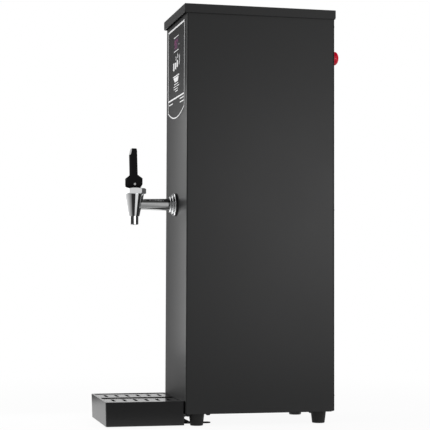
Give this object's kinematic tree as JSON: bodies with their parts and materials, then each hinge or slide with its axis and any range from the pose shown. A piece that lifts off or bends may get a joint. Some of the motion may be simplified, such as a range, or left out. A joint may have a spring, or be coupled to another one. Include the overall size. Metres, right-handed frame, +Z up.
{
  "type": "hot water urn",
  "caption": "Tall black sheet-steel countertop hot water boiler with a lever tap on its front, a lit display panel, rubber feet and a slotted drip tray.",
  "frame": {"origin": "middle of the whole footprint, on the counter", "axes": "+Z up, -Y towards the user (the tap's side), +X to the right of someone who looks along +Y at the front"},
  "size_m": [0.167, 0.3842, 0.65],
  "materials": {
    "powder_coat": "satin black powder coat",
    "galvanised": "zinc-coated sheet",
    "black_screws": "black oxide",
    "zinc_screws": "bright zinc",
    "foot_rubber": "matte",
    "black_rubber": "matte",
    "overlay": "printed polyester film",
    "smoked_lens": "smoked red window",
    "circuit_board": "solder resist",
    "display_housing": "moulded",
    "nylon": "natural nylon",
    "black_nylon": "moulded",
    "red_button": "gloss",
    "spring_steel": "drawn wire",
    "stainless": "satin",
    "silicone": "translucent white",
    "foam": "closed-cell insulation foam",
    "chrome_plate": "polished plating",
    "brass": "turned",
    "lever_plastic": "moulded",
    "tray_plastic": "fine-grained moulding"
  },
  "bodies": {
    "cabinet": {"casing": "powder_coat", "rear_panel": "powder_coat", "base_plate": "powder_coat", "top_cover": "powder_coat", "cover_screws": "black_screws", "rear_screws": "black_screws", "base_screws": "black_screws", "foot_front_left": "foot_rubber", "foot_front_right": "foot_rubber", "foot_rear_left": "foot_rubber", "foot_rear_right": "foot_rubber", "foot_screws": "zinc_screws", "control_overlay": "overlay", "display_lens": "smoked_lens", "display_board": "circuit_board", "digit_display": "display_housing", "board_standoffs": "nylon", "electrics_bracket": "galvanised", "control_board": "circuit_board", "power_relay": "display_housing", "terminal_block": "nylon", "cable_gland": "black_nylon", "gland_nut": "black_nylon", "switch_body": "black_nylon", "switch_nut": "black_nylon", "button_spring": "spring_steel", "inner_tank": "stainless", "tank_bottom": "stainless", "tank_lid": "stainless", "lid_gasket": "silicone", "lid_screws": "zinc_screws", "tank_insulation": "foam", "tank_shelf": "galvanised", "heating_element": "stainless", "heater_gasket": "silicone", "temperature_probe": "stainless", "level_probes": "stainless", "overheat_thermostat": "display_housing", "inlet_valve": "black_nylon", "valve_coil": "display_housing", "fill_hose": "silicone", "hose_clips": "spring_steel", "drain_pipe": "silicone", "drain_cap": "black_nylon", "vent_pipe": "silicone", "tap_body": "chrome_plate", "tap_rosette": "chrome_plate", "tap_gasket": "black_rubber", "tap_locknut": "brass", "outlet_sleeve": "silicone", "bonnet_nut": "chrome_plate", "stem_spring": "spring_steel"},
    "stem": {"tap_stem": "brass", "seat_cup": "black_rubber"},
    "lever": {"tap_lever": "lever_plastic", "lever_pin": "spring_steel"},
    "power_button": {"power_button": "red_button"},
    "tray": {"drip_tray": "tray_plastic", "tray_fork": "powder_coat"},
    "tray_cover": {"tray_cover": "tray_plastic"}
  },
  "joints": [
    {"name": "stem_lift", "type": "slide", "parent": "cabinet", "child": "stem", "axis": [0, 0, 1], "range_m": [0, 0.00494], "stiffness_N_per_m": 1500, "springref_m": -0.004, "deforming": ["stem_spring"]},
    {"name": "lever_tilt", "type": "hinge", "parent": "stem", "child": "lever", "pos_m": [0, -0.13785, 0.3738], "axis": [1, 0, 0], "range_deg": [0, 45]},
    {"name": "button_press", "type": "slide", "parent": "cabinet", "child": "power_button", "axis": [0, -1, 0], "range_m": [0, 0.003], "stiffness_N_per_m": 600, "springref_m": -0.002, "deforming": ["button_spring"]},
    {"name": "tray_slide", "type": "slide", "parent": "cabinet", "child": "tray", "axis": [0, -1, 0], "range_m": [0, 0.09]},
    {"name": "tray_cover_lift", "type": "slide", "parent": "tray", "child": "tray_cover", "axis": [0, 0, 1], "range_m": [0, 0.05]}
  ],
  "couplings": [
    {"joint": "lever_tilt", "follows": "stem_lift", "rad_per_m": 158.73}
  ]
}
